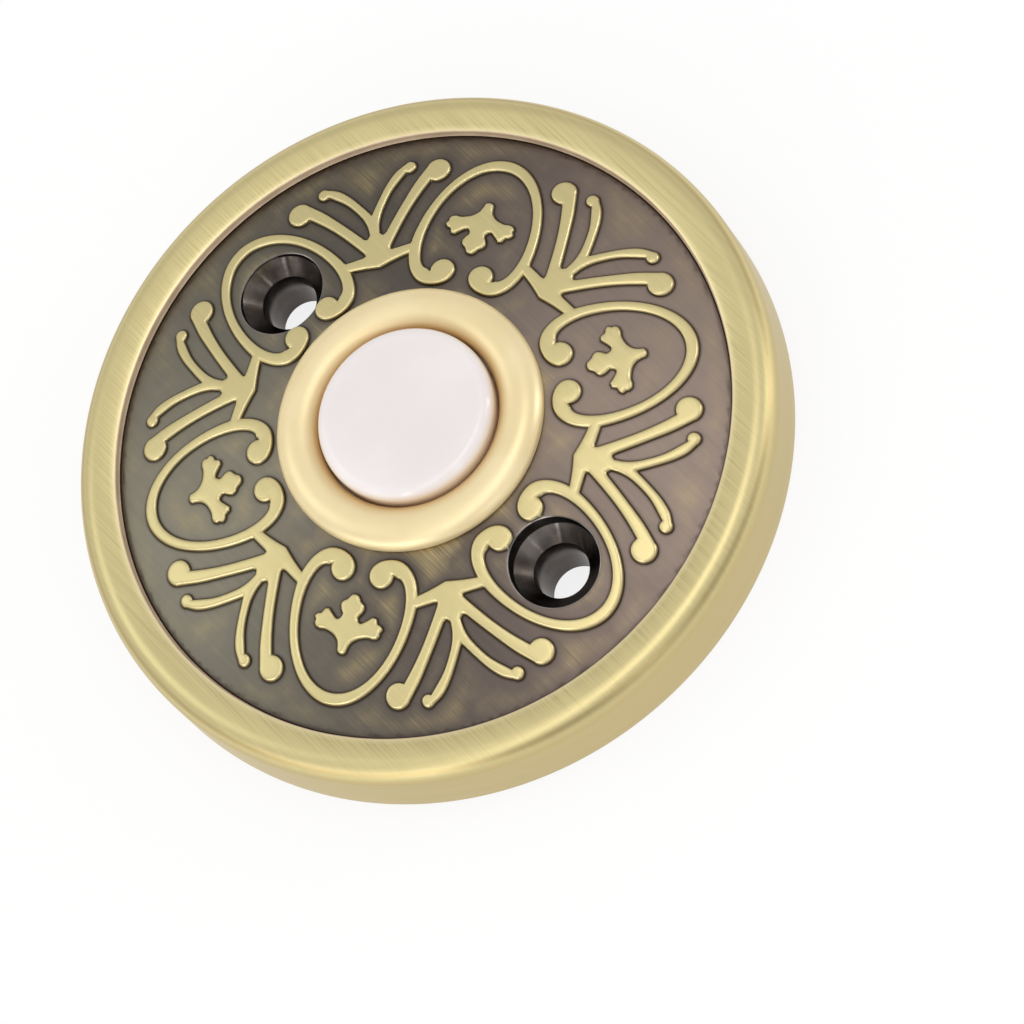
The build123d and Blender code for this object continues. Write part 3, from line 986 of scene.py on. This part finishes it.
buttonProfile = np.vstack([
    [(0, buttonTop)],
    [(radius, buttonTop - share * button["crown"]) for radius, share in button["crownKnots"]],
    arcPoints(roundCenter, buttonRound, buttonRound, 90, -90, 10),
    [(button["radius"], flangeTop), (button["flange"], flangeTop), (button["flange"], flangeLow),
     (hollow, flangeLow), (hollow, roofHeight), (button["stem"], roofHeight), (button["stem"], discTop),
     (button["neck"], discTop), (button["neck"], discLow), (button["stem"], discLow),
     (button["stem"], tipLow), (button["springBore"], tipLow), (button["springBore"], roofHeight),
     (0, roofHeight)],
])
buttonPoints = latheGrid(buttonProfile, button["steps"]).reshape(-1, 3)
buttonFaces = gridFaces(len(buttonProfile), button["steps"])
pushButton = makePiece("pushButton", buttonPoints, buttonFaces, [whiteMoulding], "button")
# painted warm shade and reflection of the ring on the button's side
sidePaintedShade = pushButton.data.attributes.new("side", "FLOAT", "POINT")
for vertex, mask in zip(pushButton.data.vertices, sidePaintedShade.data):
    mask.value = np.interp(buttonTop - vertex.co.z / mm, *button["sidePaintedShade"])
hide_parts("push_button")

# coil spring between the base and the roof of the button
spring = {
    "radius": 1.75,
    "wire": 0.2,
    "low": 2.8,
    "gap": 0.03,
    "turns": 5,
    "turnSteps": 28,
    "sides": 10,
    "travel": 1.2,
    "sharpAngle": 50,
}


def springMesh():
    # a round wire along a helix, with closed ends
    low = spring["low"] + spring["wire"] + spring["gap"]
    high = roofHeight - spring["wire"] - spring["gap"]
    count = spring["turns"] * spring["turnSteps"] + 1
    turn = np.linspace(0, spring["turns"] * 2 * np.pi, count)
    out = np.column_stack([np.cos(turn), np.sin(turn), np.zeros(count)])
    middle = out * spring["radius"] + np.column_stack([np.zeros((count, 2)), np.linspace(low, high, count)])
    sides = spring["sides"]
    around = np.arange(sides) / sides * 2 * np.pi
    upward = np.array([0, 0, 1])
    across = np.cos(around)[None, :, None] * out[:, None, :] + np.sin(around)[None, :, None] * upward
    points = (middle[:, None, :] + spring["wire"] * across).reshape(-1, 3)
    faces = [tuple(reversed(face)) for face in gridFaces(count, sides)]
    last = (count - 1) * sides
    return points, faces + [tuple(range(sides)), tuple(last + side for side in reversed(range(sides)))]


springPoints, springFaces = springMesh()
returnSpring = makePiece(
    "returnSpring", springPoints, springFaces, [springSteel], "case", sharpAngle=spring["sharpAngle"]
)
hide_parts("return_spring")
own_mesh(returnSpring)

# pieces behind the plate keep their solids
backFinishes = {
    "switch_base": blackMoulding,
    "contact_disc": contactBrass,
    "left_contact": contactBrass,
    "right_contact": contactBrass,
    "left_terminal_screw": platedSteel,
    "right_terminal_screw": platedSteel,
    "left_wire_washer": platedSteel,
    "right_wire_washer": platedSteel,
    "retaining_clip": springSteel,
}
for nodeName, finish in backFinishes.items():
    cadNodes[nodeName].material_slots[0].material = finish
print("back pieces finished")

# floor, light and camera
stage = {"floorSize": 4.0, "floorColor": rgb(250, 250, 250), "floorRoughness": 0.9, "glow": 0.82}


def floorMaterial():
    # a matt floor that glows to the camera and in reflections
    material, tree, shader = startMaterial("paleFloor")
    shader.inputs["Base Color"].default_value = stage["floorColor"]
    shader.inputs["Roughness"].default_value = stage["floorRoughness"]
    path = addNode(tree, "ShaderNodeLightPath")
    seen = path.outputs["Is Camera Ray"]
    for ray in ("Is Glossy Ray", "Is Transmission Ray"):
        either = addNode(tree, "ShaderNodeMath", operation="MAXIMUM")
        tree.links.new(seen, either.inputs[0])
        tree.links.new(path.outputs[ray], either.inputs[1])
        seen = either.outputs[0]
    share = addNode(tree, "ShaderNodeMath", operation="MULTIPLY")
    share.inputs[1].default_value = stage["glow"]
    tree.links.new(seen, share.inputs[0])
    glow = addNode(tree, "ShaderNodeEmission")
    blend = addNode(tree, "ShaderNodeMixShader")
    tree.links.new(share.outputs[0], blend.inputs[0])
    tree.links.new(shader.outputs[0], blend.inputs[1])
    tree.links.new(glow.outputs[0], blend.inputs[2])
    tree.links.new(blend.outputs[0], tree.nodes["Material Output"].inputs["Surface"])
    return material


half = stage["floorSize"] / 2
floorMesh = bpy.data.meshes.new("floor")
floorCorners = [(-half, -half, 0), (half, -half, 0), (half, half, 0), (-half, half, 0)]
floorMesh.from_pydata(floorCorners, [], [(0, 1, 2, 3)])
floorMesh.materials.append(floorMaterial())
floor = bpy.data.objects.new("floor", floorMesh)
bpy.context.collection.objects.link(floor)

# soft boxes: place in metres, width and height in metres, roll in degrees, radiance, colour
lamps = {
    "backLeft": ((-0.56, 0.68, 0.88), (0.5, 0.5), 0, 1.2, (0.97, 1.0, 0.94)),
    "overRight": ((0.26, 0.0, 1.1), (0.36, 0.36), 0, 2.2, (1.0, 0.97, 0.95)),
    "overFront": ((-0.2, -0.33, 0.95), (0.9, 0.2), 62, 2.25, (1.0, 0.96, 0.92)),
    "lowLeft": ((-1.1, -0.15, 0.34), (0.5, 0.3), 0, 2.6, (1.0, 0.97, 0.93)),
    "frontStrip": ((0.03, -1.05, 0.55), (0.1, 0.26), 0, 8.0, (1.0, 0.97, 0.95)),
    "sideLeft": ((-0.92, -0.59, 0.42), (0.12, 0.6), 0, 8.0, (1.0, 1.0, 1.0)),
    "sideRight": ((1.08, -0.38, 0.35), (0.12, 0.6), 0, 8.0, (1.0, 1.0, 1.0)),
}
for lampName, (place, size, roll, radiance, color) in lamps.items():
    light = bpy.data.lights.new(lampName, "AREA")
    light.shape = "RECTANGLE"
    light.size, light.size_y = size
    light.energy = radiance * math.pi * light.size * light.size_y
    light.color = color
    lampObject = bpy.data.objects.new(lampName, light)
    lampObject.location = place
    aim = (-Vector(place)).to_track_quat("-Z", "Y")
    lampObject.rotation_euler = (aim @ Quaternion((0, 0, 1), math.radians(roll))).to_euler()
    bpy.context.collection.objects.link(lampObject)

# tent: brightness by height, and the direction and dimming of its opening
tent = {
    "stops": ((0.0, 0.8), (0.3, 0.7), (0.55, 0.68), (0.8, 0.84), (1.0, 0.76)),
    "opening": (-0.15, -0.83, 0.53),
    "dimming": {"From Min": 0.75, "From Max": 0.95, "To Min": 1.0, "To Max": 0.68},
}


def studioWorld():
    # pale tent with a dark opening in front
    world = bpy.data.worlds.new("studio")
    bpy.context.scene.world = world
    world.use_nodes = True
    tree = world.node_tree
    place = addNode(tree, "ShaderNodeTexCoord")
    split = addNode(tree, "ShaderNodeSeparateXYZ")
    ramp = addNode(tree, "ShaderNodeValToRGB")
    tree.links.new(place.outputs["Generated"], split.inputs[0])
    tree.links.new(split.outputs["Z"], ramp.inputs[0])
    while len(ramp.color_ramp.elements) < len(tent["stops"]):
        ramp.color_ramp.elements.new(0.5)
    for element, (position, level) in zip(ramp.color_ramp.elements, tent["stops"]):
        element.position = position
        element.color = (level, level, level, 1)
    tree.links.new(ramp.outputs["Color"], tree.nodes["Background"].inputs["Color"])
    toOpening = addNode(tree, "ShaderNodeVectorMath", operation="DOT_PRODUCT")
    toOpening.inputs[1].default_value = tent["opening"]
    dim = addNode(tree, "ShaderNodeMapRange", interpolation_type="SMOOTHSTEP")
    for label, value in tent["dimming"].items():
        dim.inputs[label].default_value = value
    tree.links.new(place.outputs["Generated"], toOpening.inputs[0])
    tree.links.new(toOpening.outputs["Value"], dim.inputs["Value"])
    tree.links.new(dim.outputs["Result"], tree.nodes["Background"].inputs["Strength"])


studioWorld()

camera = {
    "target": (0.58, -11.6, 6.0),
    "azimuth": -3.43,
    "elevation": 62.21,
    "roll": -41.59,
    "distance": 563.0,
    "lens": 232.03,
    "sensor": 36,
}


def placeCamera():
    data = bpy.data.cameras.new("camera")
    data.sensor_width = camera["sensor"]
    data.lens = camera["lens"]
    azimuth, elevation = math.radians(camera["azimuth"]), math.radians(camera["elevation"])
    reach = math.cos(elevation)
    away = Vector((reach * math.sin(azimuth), -reach * math.cos(azimuth), math.sin(elevation)))
    level = away.to_track_quat("Z", "Y").to_matrix().to_4x4()
    item = bpy.data.objects.new("camera", data)
    item.matrix_world = (
        Matrix.Translation((Vector(camera["target"]) + away * camera["distance"]) * mm)
        @ level
        @ Matrix.Rotation(math.radians(camera["roll"]), 4, "Z")
    )
    bpy.context.collection.objects.link(item)
    bpy.context.scene.camera = item


placeCamera()
bpy.context.scene.view_settings.view_transform = "Standard"
print("stage and camera placed")
